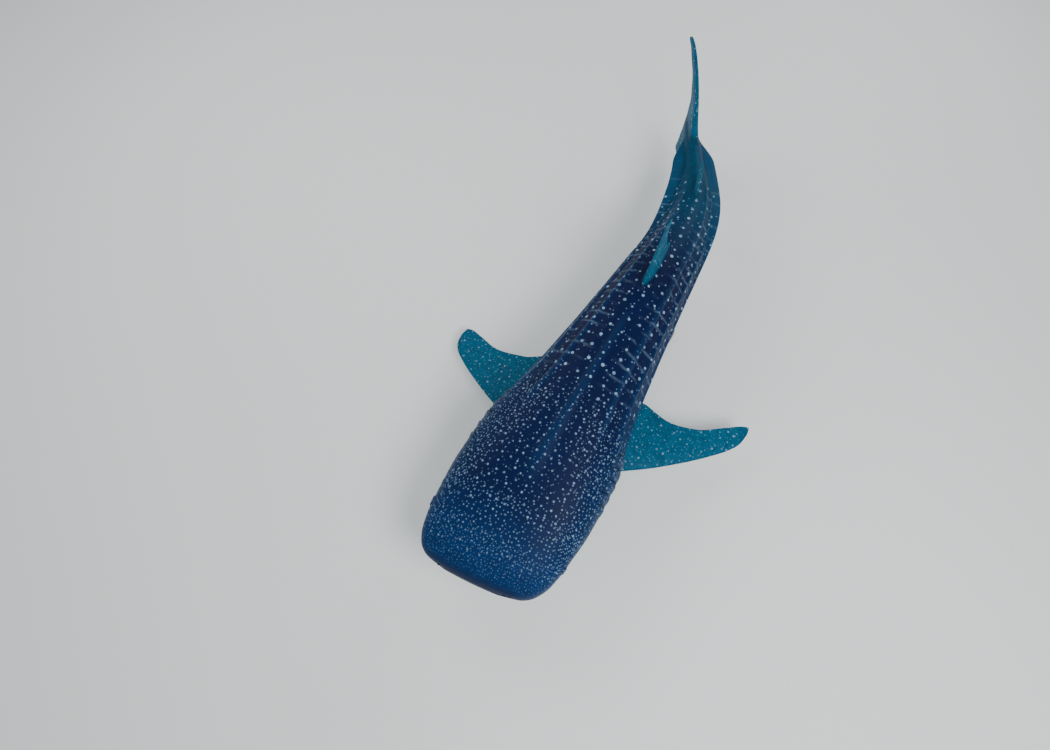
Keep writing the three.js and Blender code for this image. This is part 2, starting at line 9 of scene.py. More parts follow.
import bpy
import numpy as np
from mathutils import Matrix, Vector


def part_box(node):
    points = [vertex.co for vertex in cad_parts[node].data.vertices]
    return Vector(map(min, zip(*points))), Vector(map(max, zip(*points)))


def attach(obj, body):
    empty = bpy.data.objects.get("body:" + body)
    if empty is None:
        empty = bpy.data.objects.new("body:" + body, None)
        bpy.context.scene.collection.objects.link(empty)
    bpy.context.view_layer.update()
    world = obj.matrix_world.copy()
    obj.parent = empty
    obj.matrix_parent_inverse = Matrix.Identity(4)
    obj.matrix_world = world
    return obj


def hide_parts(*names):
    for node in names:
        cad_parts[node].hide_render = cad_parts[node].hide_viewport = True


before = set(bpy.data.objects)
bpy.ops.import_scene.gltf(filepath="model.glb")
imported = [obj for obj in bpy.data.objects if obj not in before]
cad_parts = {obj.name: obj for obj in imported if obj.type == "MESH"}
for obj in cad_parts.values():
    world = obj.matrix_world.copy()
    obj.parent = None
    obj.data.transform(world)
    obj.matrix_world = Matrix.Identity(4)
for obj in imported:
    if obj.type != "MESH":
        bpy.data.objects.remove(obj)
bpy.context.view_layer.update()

# Driving dimensions, the same as the solids'; stations and outlines are shares of the length.
LENGTH = 6.0  # the measure that shares are taken of
AXIS_HEIGHT = 0.7
LENGTH_AHEAD = 0.36
HEAD_TURN_DEG = -1.5
HEAD_TURN_TO = 0.3
SNOUT_SKEW = 0.1
SNOUT_SKEW_TO = 0.12
SNOUT_BULGE = 0.006
SNOUT_BULGE_TO = 0.05
SNOUT_BULGE_HALF = 0.09
TAIL_BEND_DEG = -29.5
BEND_FROM = 0.535
BEND_TO = 0.775
TAIL_FIN_BEND_DEG = -25
TAIL_FIN_TO = 0.97

# along, half width, back above the axis, belly below it, squareness of the section
BODY_STATIONS = [
    (0.0, 0.0383, 0.008, 0.012, 2.4),
    (0.004, 0.069, 0.0165, 0.0215, 2.6),
    (0.014, 0.0837, 0.027, 0.031, 2.8),
    (0.035, 0.0939, 0.038, 0.043, 2.8),
    (0.07, 0.0996, 0.049, 0.056, 2.7),
    (0.13, 0.105, 0.061, 0.069, 2.5),
    (0.2, 0.103, 0.07, 0.076, 2.3),
    (0.3, 0.0805, 0.077, 0.078, 2.15),
    (0.44, 0.0627, 0.077, 0.069, 2.1),
    (0.56, 0.0503, 0.062, 0.052, 2.0),
    (0.68, 0.0302, 0.04, 0.03, 2.0),
    (0.76, 0.0182, 0.0265, 0.018, 2.0),
    (0.8, 0.0142, 0.021, 0.013, 2.0),
    (0.845, 0.006, 0.012, 0.005, 2.0),
]
# angle from the top of the section, from, to, height
RIDGES = [
    (0, 0.12, 0.43, 0.0025),
    (32, 0.2, 0.72, 0.0028),
    (56, 0.2, 0.74, 0.003),
    (80, 0.24, 0.815, 0.003),
]
KEEL_HEIGHT = 0.0165
KEEL_FROM = 0.55
KEEL_FULL = 0.69
KEEL_SPREAD_DEG = 9
RIDGE_SPREAD_DEG = 3.2
RIDGE_FADE = 0.06

# How finely the skin is made.
RING_STEP = 0.0045  # metres between rings on the head
RING_STEP_TRUNK = 0.009
FINE_UNTIL = 0.25
FINE_FADE = 0.05
PROFILE_SAMPLES = 20000
RING_POINTS = 512
RING_ANGLES = np.linspace(0, 180, 2401)  # degrees, close enough together to measure along a ring
SNOUT_FADE = 0.012  # the surface detail grows in over this share of the length
CAP_RINGS = 10
CAP_BULGE = 0.004
FIN_SECTIONS = 90
CHORD_POINTS = 46
EDGE_HALF = 0.0025
FILLET = 0.16  # share of a fin's span over which its root swells into the body
FILLET_AHEAD = 0.55  # the swell's reach ahead of the fin, as a share of the swell
FILLET_BEHIND = 0.4  # its reach behind the fin, as a share of the reach ahead
FILLET_SIDE = 0.8  # its rise to each side, as a share of the swell
FIN_RIPPLE = 0.0035


# Small helpers.
def ease(x):
    x = np.clip(x, 0, 1)
    return x * x * (3 - 2 * x)


def smooth_curve(xs, ys):
    """A smooth curve through the points (xs, ys) that never overshoots them."""
    xs, ys = np.asarray(xs, float), np.asarray(ys, float)
    widths = np.diff(xs)
    slopes = np.diff(ys) / widths
    tangents = np.zeros_like(ys)
    tangents[0], tangents[-1] = slopes[0], slopes[-1]
    for i in range(1, len(xs) - 1):
        a, b = slopes[i - 1], slopes[i]
        if a * b > 0:
            wa = widths[i - 1] + 2 * widths[i]
            wb = 2 * widths[i - 1] + widths[i]
            tangents[i] = (wa + wb) / (wa / a + wb / b)

    def curve(x):
        x = np.clip(x, xs[0], xs[-1])
        i = np.clip(np.searchsorted(xs, x, side="right") - 1, 0, len(widths) - 1)
        t = (x - xs[i]) / widths[i]
        t2, t3 = t * t, t * t * t
        return (
            ys[i] * (2 * t3 - 3 * t2 + 1)
            + tangents[i] * widths[i] * (t3 - 2 * t2 + t)
            + ys[i + 1] * (3 * t2 - 2 * t3)
            + tangents[i + 1] * widths[i] * (t3 - t2)
        )

    return curve


def wave(*terms):
    """A smooth seeded wobble: the mean of sines of the given phases."""
    return sum(np.sin(term) for term in terms) / len(terms)


STATION_AT = [row[0] for row in BODY_STATIONS]
half_width_at, back_at, belly_at, squareness_at = (
    smooth_curve(STATION_AT, [row[column] for row in BODY_STATIONS]) for column in (1, 2, 3, 4)
)
BODY_END = STATION_AT[-1]

# The swimming pose.
SPINE = np.linspace(0, 1.1, 4401)


def heading_at(along):
    head = 1 - ease(along / HEAD_TURN_TO)
    trunk = ease((along - BEND_FROM) / (BEND_TO - BEND_FROM))
    fin = ease((along - BEND_TO) / (TAIL_FIN_TO - BEND_TO))
    return np.radians(HEAD_TURN_DEG * head + TAIL_BEND_DEG * trunk + TAIL_FIN_BEND_DEG * fin)


spine_headings = heading_at((SPINE[1:] + SPINE[:-1]) / 2)
spine_steps = np.diff(SPINE) * LENGTH
SPINE_X = np.concatenate([[0], np.cumsum(np.sin(spine_headings) * spine_steps)])
SPINE_Y = np.concatenate([[0], np.cumsum(np.cos(spine_headings) * spine_steps)])
SPINE_X -= np.interp(LENGTH_AHEAD, SPINE, SPINE_X)
SPINE_Y -= np.interp(LENGTH_AHEAD, SPINE, SPINE_Y)


def pose(straight):
    """Points of the straight body (side, along, up), in metres, to the swimming pose."""
    side, along, up = np.asarray(straight, float).T
    along = along / LENGTH
    heading = heading_at(along)
    skew = SNOUT_SKEW * side / LENGTH * (1 - ease(along / SNOUT_SKEW_TO))
    bow = np.clip(1 - (side / LENGTH / SNOUT_BULGE_HALF) ** 2, 0, 1)
    bow = bow * (1 - ease(along / SNOUT_BULGE_TO))
    along = along + skew - SNOUT_BULGE * bow
    spine_x = np.interp(along, SPINE, SPINE_X)
    spine_y = np.interp(along, SPINE, SPINE_Y) + np.minimum(along, 0) * LENGTH
    return np.column_stack(
        [
            spine_x + np.cos(heading) * side,
            spine_y - np.sin(heading) * side,
            AXIS_HEIGHT + up,
        ]
    )


# The straight body's surface.
def ridge_rise(along, angle):
    folded = np.where(angle > 180, 360 - angle, angle)
    rise = 0
    for at, start, end, height in RIDGES:
        fade = ease((along - start) / RIDGE_FADE) * ease((end - along) / RIDGE_FADE)
        growth = 0
        if at == RIDGES[-1][0]:
            growth = ease((along - KEEL_FROM) / (KEEL_FULL - KEEL_FROM))
        full = height + (KEEL_HEIGHT - height) * growth
        spread = RIDGE_SPREAD_DEG + (KEEL_SPREAD_DEG - RIDGE_SPREAD_DEG) * growth
        rise = rise + full * fade * np.exp(-(((folded - at) / spread) ** 2))
    return rise


def skin_point(along, angle, raised=0.0):
    """A point of the straight skin (side, along, up) in metres, raised by a share of the length."""
    along, angle = np.broadcast_arrays(np.asarray(along, float), np.asarray(angle, float))
    power = 2 / squareness_at(along)
    sin, cos = np.sin(np.radians(angle)), np.cos(np.radians(angle))
    side = np.sign(sin) * np.abs(sin) ** power * half_width_at(along)
    depth = np.where(cos > 0, back_at(along), belly_at(along))
    up = np.sign(cos) * np.abs(cos) ** power * depth
    out = np.maximum(np.hypot(side, up), 1e-9)
    grow = 1 + (raised + ridge_rise(along, angle)) / out
    return np.stack([side * grow, along, up * grow], axis=-1) * LENGTH


# Gills, as rises and slits in the skin.
GILL_FIRST = 0.158
GILL_PITCH = 0.0185
GILL_COUNT = 5
GILL_BOW = 0.006
GILL_TOP_DEG = 58
GILL_BOTTOM_DEG = 106
GILL_SLIT = 0.014
GILL_DEPTH = 0.026
GILL_FLAP = 0.0105
GILL_FLAP_REACH = 0.085
GILL_SHORTER = 0.06  # each gill is shorter than the one ahead by this share


def gill_rise(along, angle):
    folded = np.where(angle > 180, 360 - angle, angle)
    total = np.zeros(np.broadcast(along, angle).shape)
    for i in range(GILL_COUNT):
        bottom = GILL_TOP_DEG + (GILL_BOTTOM_DEG - GILL_TOP_DEG) * (1 - GILL_SHORTER * i)
        t = (folded - GILL_TOP_DEG) / (bottom - GILL_TOP_DEG)
        inside = ease(np.minimum(t, 1 - t) / 0.09)
        swell = inside * (0.55 + 0.45 * np.sin(np.pi * np.clip(t, 0, 1)))
        line = GILL_FIRST + GILL_PITCH * i + GILL_BOW * np.sin(np.pi * np.clip(t, 0, 1))
        gap = (along - line) * LENGTH
        ahead = np.where(gap <= 0, ease(1 + gap / GILL_FLAP_REACH) ** 1.6, 0)
        slit = ease((gap + 0.001) / 0.004) * ease((GILL_SLIT * swell + 0.004 - gap) / 0.008)
        behind = np.where(gap > 0, 0.3 * np.exp(-(((gap - 0.026) / 0.012) ** 2)), 0)
        total += GILL_FLAP * swell * (ahead + behind) - GILL_DEPTH * swell * slit
    return total


# Eyes, spiracles and nostrils.
EYE_AT = 0.062
EYE_ANGLE = 82
EYE_RADIUS = 0.0042
EYE_SUNK = 0.0016
LID_RADIUS = 0.03
LID_RISE = 0.008
LID_FOLD = 0.003
EYE_BED = 0.006
SPIRACLE_AT = 0.087
SPIRACLE_ANGLE = 76
SPIRACLE_RADIUS = 0.013
SPIRACLE_DEPTH = 0.016
SPIRACLE_BRIM = 0.003
NOSTRIL_SIDE = 0.318
NOSTRIL_ALONG = 0.011
NOSTRIL_UP = 0.03
NOSTRIL_RADIUS = 0.013
NOSTRIL_DEPTH = 0.018
BARBEL_SIDE = NOSTRIL_SIDE - 0.034
BARBEL_UP = NOSTRIL_UP - 0.012
BARBEL_RADIUS = 0.011
BARBEL_RISE = 0.013


def spot_distance(points, at, angle):
    """How far points of the straight skin are from a place on it, on the nearer side."""
    centre = skin_point(at, angle)
    mirrored = np.abs(points[..., 0]), points[..., 1], points[..., 2]
    return np.linalg.norm(np.stack(mirrored, axis=-1) - centre, axis=-1)


def eye_rise(points):
    from_eye = spot_distance(points, EYE_AT, EYE_ANGLE)
    lid = LID_RISE * np.exp(-(((from_eye - LID_RADIUS) / 0.0075) ** 2))
    fold = -LID_FOLD * np.exp(-(((from_eye - LID_RADIUS * 1.55) / 0.006) ** 2))
    bed = EYE_BED * np.exp(-((from_eye / 0.09) ** 2))
    from_spiracle = spot_distance(points, SPIRACLE_AT, SPIRACLE_ANGLE)
    hole = -SPIRACLE_DEPTH * ease(1 - from_spiracle / SPIRACLE_RADIUS)
    brim = SPIRACLE_BRIM * np.exp(-(((from_spiracle - SPIRACLE_RADIUS * 1.25) / 0.006) ** 2))
    return lid + fold + bed + hole + brim


def nostril_rise(points):
    """A pit over each end of the front edge, and the short barbel beside it."""
    side, along, up = np.abs(points[..., 0]), points[..., 1], points[..., 2]
    ahead = along - NOSTRIL_ALONG
    from_pit = np.hypot(np.hypot(side - NOSTRIL_SIDE, ahead), (up - NOSTRIL_UP) * 1.3)
    from_barbel = np.hypot(np.hypot(side - BARBEL_SIDE, ahead), up - BARBEL_UP)
    barbel = BARBEL_RISE * np.exp(-((from_barbel / BARBEL_RADIUS) ** 2))
    return barbel - NOSTRIL_DEPTH * ease(1.25 - from_pit / NOSTRIL_RADIUS)


SWELL_RISE = 0.003
FOLD_RISE = 0.0006


def flesh_rise(points):
    """Slight swells and folds that keep the skin from looking machined."""
    x, y, z = points[..., 0], points[..., 1], points[..., 2]
    swell = wave(
        5.1 * y + 3.3 * x,
        3.7 * y - 6.1 * z + 1.3,
        8.3 * x + 4.9 * z + 2 * y,
        11 * y + 7 * x,
    )
    fold_zone = ease((y - 0.72) / 0.25) * ease((1.75 - y) / 0.3)
    folds = wave(92 * y + 5 * np.sin(5 * z) + 2.2 * np.sin(17 * x + 11 * z), 61 * y + 9 * z)
    return SWELL_RISE * swell + FOLD_RISE * fold_zone * folds


# Closed meshes from rings.
def loft_faces(rings, count):
    i, j = np.meshgrid(np.arange(rings - 1), np.arange(count), indexing="ij")
    k = (j + 1) % count
    quads = np.stack([i * count + j, i * count + k, (i + 1) * count + k, (i + 1) * count + j], -1)
    return quads.reshape(-1, 4)


def loft_mesh(name, rings, material_index=0):
    """Rings of equally many points, closed with a fan at each end, with faces pointing out."""
    rings = np.asarray(rings, float)
    ring_count, count = rings.shape[:2]
    quads = loft_faces(ring_count, count)
    points = np.concatenate(
        [rings.reshape(-1, 3), rings[0].mean(0, keepdims=True), rings[-1].mean(0, keepdims=True)]
    )
    j = np.arange(count)
    k = (j + 1) % count
    first, last = ring_count * count, ring_count * count + 1
    start = (ring_count - 1) * count
    fan_first = np.stack([np.full(count, first), k, j], -1)
    fan_last = np.stack([np.full(count, last), start + j, start + k], -1)
    fans = np.concatenate([fan_first, fan_last])
    triangles = np.concatenate([quads[:, [0, 1, 2]], quads[:, [0, 2, 3]], fans])
    a, b, c = (points[triangles[:, n]] for n in range(3))
    if np.einsum("ij,ij->i", a, np.cross(b, c)).sum() < 0:
        quads, fans = quads[:, ::-1], fans[:, ::-1]
    mesh = bpy.data.meshes.new(name)
    mesh.from_pydata(points.tolist(), [], quads.tolist() + fans.tolist())
    indices = np.full(len(mesh.polygons), material_index, np.int32)
    mesh.polygons.foreach_set("material_index", indices)
    obj = bpy.data.objects.new(name, mesh)
    bpy.context.scene.collection.objects.link(obj)
    return obj


def combine(target, tool, operation):
    modifier = target.modifiers.new("combine", "BOOLEAN")
    modifier.operation = operation
    modifier.solver = "MANIFOLD"
    modifier.object = tool
    bpy.context.view_layer.objects.active = target
    bpy.ops.object.modifier_apply(modifier=modifier.name)
    bpy.data.objects.remove(tool, do_unlink=True)


def mesh_points(obj):
    points = np.empty(len(obj.data.vertices) * 3)
    obj.data.vertices.foreach_get("co", points)
    return points.reshape(-1, 3)


def set_points(obj, points):
    obj.data.vertices.foreach_set("co", np.ascontiguousarray(points, np.float32).ravel())
    obj.data.update()


# The body.
def ring_places():
    """Shares of the length, closer together where the snout turns round."""
    fine = np.linspace(0, BODY_END, PROFILE_SAMPLES)
    profile = np.hypot(np.diff(fine), np.diff(half_width_at(fine))) * LENGTH
    travelled = np.concatenate([[0], np.cumsum(profile)])
    places, at = [], 0.0
    while at < travelled[-1]:
        along = np.interp(at, travelled, fine)
        places.append(along)
        blend = ease((along - FINE_UNTIL) / FINE_FADE)
        at += RING_STEP + (RING_STEP_TRUNK - RING_STEP) * blend
    places.append(BODY_END)
    return np.array(places)


def even_angles(along, count):
    """Angles round a ring whose points are evenly far apart."""
    points = skin_point(along, RING_ANGLES)
    steps = np.linalg.norm(np.diff(points, axis=0), axis=1)
    travelled = np.concatenate([[0], np.cumsum(steps)])
    wanted = np.linspace(0, travelled[-1], count // 2 + 1)
    angles = np.interp(wanted, travelled, RING_ANGLES)
    return np.concatenate([angles, 360 - angles[-2:0:-1]])


def make_body():
    places = ring_places()
    angles = np.array([even_angles(along, RING_POINTS) for along in places])
    alongs = np.broadcast_to(places[:, None], angles.shape)
    points = skin_point(alongs, angles)
    outward = ring_normals(points)
    details = gill_rise(alongs, angles) + eye_rise(points) + flesh_rise(points)
    fade = ease(places / SNOUT_FADE)[:, None]
    details = details * fade + nostril_rise(points)
    points = points + outward * details[..., None]
    shrink = np.linspace(0, 1, CAP_RINGS + 1)[1:-1]
    middle = points[0].mean(0)
    ahead = np.array([0, CAP_BULGE, 0])
    cap = [middle + (points[0] - middle) * k - ahead * (1 - k * k) for k in shrink]
    return loft_mesh("skin", np.concatenate([np.array(cap), points]))


def ring_normals(points):
    around = np.roll(points, -1, axis=1) - np.roll(points, 1, axis=1)
    ahead = np.gradient(points, axis=0)
    normals = np.cross(around, ahead)
    lengths = np.maximum(np.linalg.norm(normals, axis=-1, keepdims=True), 1e-12)
    normals = normals / lengths
    centre = points.mean(axis=1, keepdims=True)
    outward = points - centre
    outward[..., 1] = 0
    flip = np.sign(np.einsum("ijk,ijk->ij", normals, outward))
    return normals * np.where(flip < 0, -1, 1)[..., None]


# Fins: rows of span share, leading edge and trailing edge.
def foil(c):
    return 5 * (0.2969 * np.sqrt(c) - 0.126 * c - 0.3516 * c**2 + 0.2843 * c**3 - 0.1036 * c**4)


def make_fin(name, outline, place, thickness, root_share, swell):
    """place(t) gives side, up and the two parts of the thickness direction at span shares t."""
    spans, fronts, rears = zip(*outline)
    leading, trailing = smooth_curve(spans, fronts), smooth_curve(spans, rears)
    t = np.sin(np.linspace(0, 1, FIN_SECTIONS + 1) * math.pi / 2)
    front, rear = leading(t), trailing(t)
    side, up, across_side, across_up = place(t)
    chord = 0.5 * (1 - np.cos(np.linspace(0, 1, CHORD_POINTS + 1) * math.pi))
    full = thickness * (rear - front) * (1 - 0.25 * t)
    half = full[:, None] * foil(chord)[None] * LENGTH
    half = half + EDGE_HALF * np.minimum(1, 4 * chord + 0.02)
    past = np.clip((t - root_share) / FILLET, 0, 1)
    flare = swell * (1 - np.sqrt(1 - (1 - past) ** 2))
    reach = FILLET_AHEAD * flare
    front = front - reach
    rear = rear + reach * FILLET_BEHIND
    along = (front[:, None] + (rear - front)[:, None] * chord[None]) * LENGTH
    belly_of_chord = np.sqrt(np.clip(1 - (2 * chord - 1) ** 2, 0, 1))
    half = half + (flare * LENGTH)[:, None] * belly_of_chord[None] * FILLET_SIDE
    ripple = FIN_RIPPLE * wave(along * 23 + t[:, None] * 9, along * 41 - t[:, None] * 21)
    ripple = ripple * ease(chord * 1.6)[None] * ease((t - 0.2) / 0.4)[:, None]
    faces = []
    for sign in (1, -1):
        offset = half * sign + ripple
        faces.append(
            np.stack(
                [
                    side[:, None] * LENGTH + across_side[:, None] * offset,
                    along,
                    up[:, None] * LENGTH + across_up[:, None] * offset,
                ],
                axis=-1,
            )
        )
    rings = np.concatenate([faces[0], faces[1][:, ::-1]], axis=1)
    return loft_mesh(name, rings, 1)


ROOT_DEPTH = 0.03
SPAN_STEPS = 400


def upright_place(base, height, lean):
    def place(t):
        up = base + math.copysign(1, height) * (-ROOT_DEPTH + (abs(height) + ROOT_DEPTH) * t)
        return lean * t * abs(height), up, np.ones_like(t), np.zeros_like(t)

    return place


def paired_place(sign, root, span, droop_deg, curl_deg):
    def place(t):
        shares = np.linspace(0, 1, SPAN_STEPS + 1)
        droops = np.radians(droop_deg + curl_deg * (shares[1:] + shares[:-1]) / 2)
        side = root[0] + np.concatenate([[0], np.cumsum(np.cos(droops))]) * span / SPAN_STEPS
        up = root[1] - np.concatenate([[0], np.cumsum(np.sin(droops))]) * span / SPAN_STEPS
        droop = np.radians(droop_deg + curl_deg * t)
        return (
            sign * np.interp(t, shares, side),
            np.interp(t, shares, up),
            sign * np.sin(droop),
            np.cos(droop),
        )

    return place


def swept(outline, sweep):
    return [(t, front + sweep * t**1.3, rear + sweep * t**1.3) for t, front, rear in outline]


PECTORAL_OUTLINE = [
    (0.0, 0.217, 0.344),
    (0.16, 0.2245, 0.3415),
    (0.35, 0.2376, 0.3275),
    (0.6, 0.26, 0.3233),
    (0.82, 0.2835, 0.3357),
    (0.94, 0.3003, 0.3425),
    (0.99, 0.314, 0.3419),
    (1.0, 0.3245, 0.3332),
]
PECTORAL_ROOT = (0.055, -0.042)
# sign of the side, sweep, span, droop and curl in degrees
PECTORAL_FINS = [(1, 0.07, 0.182, 5, 10), (-1, -0.01, 0.189, 11.5, 10)]
PELVIC_ROOT = (0.018, -0.033)
PELVIC_SPAN = 0.048
PELVIC_DROOP_DEG = 46
PELVIC_CURL_DEG = 6
PELVIC_OUTLINE = [
    (0.0, 0.537, 0.583),
    (0.4, 0.545, 0.593),
    (0.75, 0.56, 0.599),
    (0.95, 0.578, 0.6005),
    (1.0, 0.589, 0.597),
]
FIRST_DORSAL_OUTLINE = [
    (0.0, 0.441, 0.512),
    (0.25, 0.446, 0.518),
    (0.32, 0.4535, 0.54),
    (0.45, 0.463, 0.524),
    (0.7, 0.4845, 0.5195),
    (0.88, 0.501, 0.526),
    (0.96, 0.5095, 0.5265),
    (1.0, 0.517, 0.5235),
]
SECOND_DORSAL_OUTLINE = [
    (0.0, 0.648, 0.69),
    (0.45, 0.652, 0.694),
    (0.53, 0.656, 0.711),
    (0.68, 0.6655, 0.702),
    (0.88, 0.682, 0.704),
    (1.0, 0.696, 0.7025),
]
ANAL_OUTLINE = [
    (0.0, 0.664, 0.702),
    (0.45, 0.668, 0.706),
    (0.53, 0.672, 0.722),
    (0.68, 0.6805, 0.713),
    (0.88, 0.697, 0.716),
    (1.0, 0.711, 0.717),
]
UPPER_LOBE_OUTLINE = [
    (0.0, 0.765, 0.858),
    (0.15, 0.773, 0.86),
    (0.3, 0.8, 0.8615),
    (0.5, 0.8275, 0.8725),
    (0.7, 0.855, 0.89),
    (0.87, 0.88, 0.908),
    (0.96, 0.8955, 0.918),
    (1.0, 0.907, 0.9145),
]
LOWER_LOBE_OUTLINE = [
    (0.0, 0.772, 0.858),
    (0.25, 0.776, 0.86),
    (0.45, 0.794, 0.861),
    (0.65, 0.8145, 0.8625),
    (0.85, 0.8355, 0.8665),
    (0.95, 0.847, 0.867),
    (1.0, 0.8555, 0.8625),
]


# name, outline, height of the root, span up or down, lean, thickness, share in the body, swell
UPRIGHT_FINS = [
    ("first_dorsal", FIRST_DORSAL_OUTLINE, 0.076, 0.078, -0.1, 0.13, 0.24, 0.006),
    ("second_dorsal", SECOND_DORSAL_OUTLINE, 0.041, 0.036, 0, 0.12, 0.4, 0.003),
    ("anal", ANAL_OUTLINE, -0.029, -0.036, 0, 0.12, 0.4, 0.003),
    ("upper_lobe", UPPER_LOBE_OUTLINE, 0.03, 0.09, 0, 0.17, 0.16, 0),
    ("lower_lobe", LOWER_LOBE_OUTLINE, -0.012, -0.075, 0, 0.14, 0.2, 0),
]


def make_fins():
    return [
        *(
            make_fin(
                "pectoral",
                swept(PECTORAL_OUTLINE, sweep),
                paired_place(sign, PECTORAL_ROOT, span, droop, curl),
                thickness=0.12,
                root_share=0.17,
                swell=0.008,
            )
            for sign, sweep, span, droop, curl in PECTORAL_FINS
        ),
        *(
            make_fin(
                "pelvic",
                PELVIC_OUTLINE,
                paired_place(sign, PELVIC_ROOT, PELVIC_SPAN, PELVIC_DROOP_DEG, PELVIC_CURL_DEG),
                thickness=0.11,
                root_share=0.3,
                swell=0.004,
            )
            for sign in (1, -1)
        ),
        *(
            make_fin(name, outline, upright_place(base, height, lean), thickness, root_share, swell)
            for name, outline, base, height, lean, thickness, root_share, swell in UPRIGHT_FINS
        ),
    ]


# The mouth.
MOUTH_LEVEL = -0.006
MOUTH_CORNER = 0.047
MOUTH_DROP = 0.008
MOUTH_INWARD = 0.14
MOUTH_HALF = 0.0018
MOUTH_STEPS = 160
LIP_RADIUS = 0.0021
LIP_AWAY = 0.0036
LIP_SIDES = 16


def mouth_front(a):
    """The head's outline at the mouth, from a corner (-1) round the snout to the other (1)."""
    reach = half_width_at(MOUTH_CORNER)
    side = np.sign(a) * reach * np.sin(np.radians(90 * np.abs(a))) ** 0.8
    alongs = np.linspace(0, MOUTH_CORNER, 4000)
    along = np.interp(np.abs(side), half_width_at(alongs), alongs)
    return along, side


def mouth_point(a, scale, up=0.0):
    along, side = mouth_front(a)
    centre = MOUTH_CORNER * 1.6
    level = MOUTH_LEVEL - MOUTH_DROP * np.abs(a) ** 4 + up
    return np.stack([side * scale, centre + (along - centre) * scale, level], -1) * LENGTH


def make_mouth_slot():
    a = np.linspace(-1, 1, MOUTH_STEPS + 1)
    opening = MOUTH_HALF * (0.25 + 0.75 * np.cos(np.radians(90 * a)) ** 0.5)
    rings = np.stack(
        [
            mouth_point(a, 1.12, opening),
            mouth_point(a, 1.12, -opening),
            mouth_point(a, 1 - MOUTH_INWARD, -opening * 0.4),
            mouth_point(a, 1 - MOUTH_INWARD, opening * 0.4),
        ],
        axis=1,
    )
    return loft_mesh("mouth_slot", rings, 2)


def make_lip(sign):
    a = np.linspace(-0.98, 0.98, MOUTH_STEPS + 1)
    thin = 0.35 + 0.65 * np.cos(np.radians(88 * a)) ** 0.5
    centre = mouth_point(a, 0.985, sign * LIP_AWAY * (0.3 + 0.7 * thin))
    out = mouth_point(a, 1.5) - centre
    out[:, 2] = 0
    out /= np.linalg.norm(out, axis=1, keepdims=True)
    rings = []
    radius = (LIP_RADIUS * LENGTH * thin)[:, None]
    upward = np.array([0, 0, 1])
    for turn in np.linspace(0, 2 * math.pi, LIP_SIDES, endpoint=False):
        rings.append(centre + out * radius * math.cos(turn) + upward * radius * math.sin(turn))
    return loft_mesh("lip", np.stack(rings, axis=1), 0)


BALL_SIDES = 48
BALL_RINGS = 25
BALL_POLE = 0.04  # the tilt of a ball's first ring


def make_ball(name, centre, radius, material_index):
    turns = np.linspace(0, 2 * math.pi, BALL_SIDES, endpoint=False)
    rings = []
    for tilt in np.linspace(BALL_POLE, math.pi - BALL_POLE, BALL_RINGS):
        out, level = math.sin(tilt), np.full_like(turns, math.cos(tilt))
        ring = np.stack([np.cos(turns) * out, np.sin(turns) * out, level], -1)
        rings.append(np.asarray(centre) + ring * radius)
    return loft_mesh(name, rings, material_index)


# One skin, straight, then smoothed where fins meet the body.
SMOOTH_REACH = 0.05
SMOOTH_ROUNDS = 40
SMOOTH_WEIGHT = 0.6
REACH_ROUNDS = 30  # enough steps along edges to cover the reach
SOCKET_ROOM = 1.04  # a socket's radius against its eye's


def edge_list(mesh):
    edges = np.empty(len(mesh.edges) * 2, np.int32)
    mesh.edges.foreach_get("vertices", edges)
    return edges.reshape(-1, 2)


def smooth_roots(obj):
    """Evens the skin out near the seams of body (material 0) and fins (1), away from the rest."""
    mesh = obj.data
    points = mesh_points(obj)
    loops = np.empty(len(mesh.loops), np.int32)
    mesh.loops.foreach_get("vertex_index", loops)
    totals = np.empty(len(mesh.polygons), np.int32)
    mesh.polygons.foreach_get("loop_total", totals)
    parts = np.empty(len(mesh.polygons), np.int32)
    mesh.polygons.foreach_get("material_index", parts)
    of_loop = np.repeat(parts, totals)
    has = np.zeros((len(points), 3), bool)
    for part in range(3):
        has[loops[of_loop == part], part] = True
    seam = has[:, 0] & has[:, 1] & ~has[:, 2]
    edges = edge_list(mesh)
    distance = np.where(seam, 0.0, np.inf)
    lengths = np.linalg.norm(points[edges[:, 0]] - points[edges[:, 1]], axis=1)
    for _ in range(REACH_ROUNDS):
        reached = np.minimum(distance[edges[:, 0]], distance[edges[:, 1]]) + lengths
        np.minimum.at(distance, edges[:, 0], reached)
        np.minimum.at(distance, edges[:, 1], reached)
    weight = SMOOTH_WEIGHT * (1 - ease(distance / SMOOTH_REACH))
    weight[has[:, 2]] = 0
    near = np.flatnonzero(weight > 0)
    touching = (weight[edges[:, 0]] > 0) | (weight[edges[:, 1]] > 0)
    edges = edges[touching]
    degree = np.maximum(np.bincount(edges.ravel(), minlength=len(points)), 1)[:, None]
    for _ in range(SMOOTH_ROUNDS):
        total = np.zeros_like(points)
        for axis in range(3):
            total[:, axis] = np.bincount(edges[:, 0], points[edges[:, 1], axis], len(points))
            total[:, axis] += np.bincount(edges[:, 1], points[edges[:, 0], axis], len(points))
        points[near] += (total[near] / degree[near] - points[near]) * weight[near, None]
    set_points(obj, points)


skin = make_body()
for fin in make_fins():
    combine(skin, fin, "UNION")
for sign in (1, -1):
    combine(skin, make_lip(sign), "UNION")
smooth_roots(skin)
combine(skin, make_mouth_slot(), "DIFFERENCE")
eye_centres = [skin_point(EYE_AT, angle, -EYE_SUNK) for angle in (EYE_ANGLE, 360 - EYE_ANGLE)]
for centre in eye_centres:
    combine(skin, make_ball("socket", centre, EYE_RADIUS * LENGTH * SOCKET_ROOM, 2), "DIFFERENCE")

straight_points = mesh_points(skin)


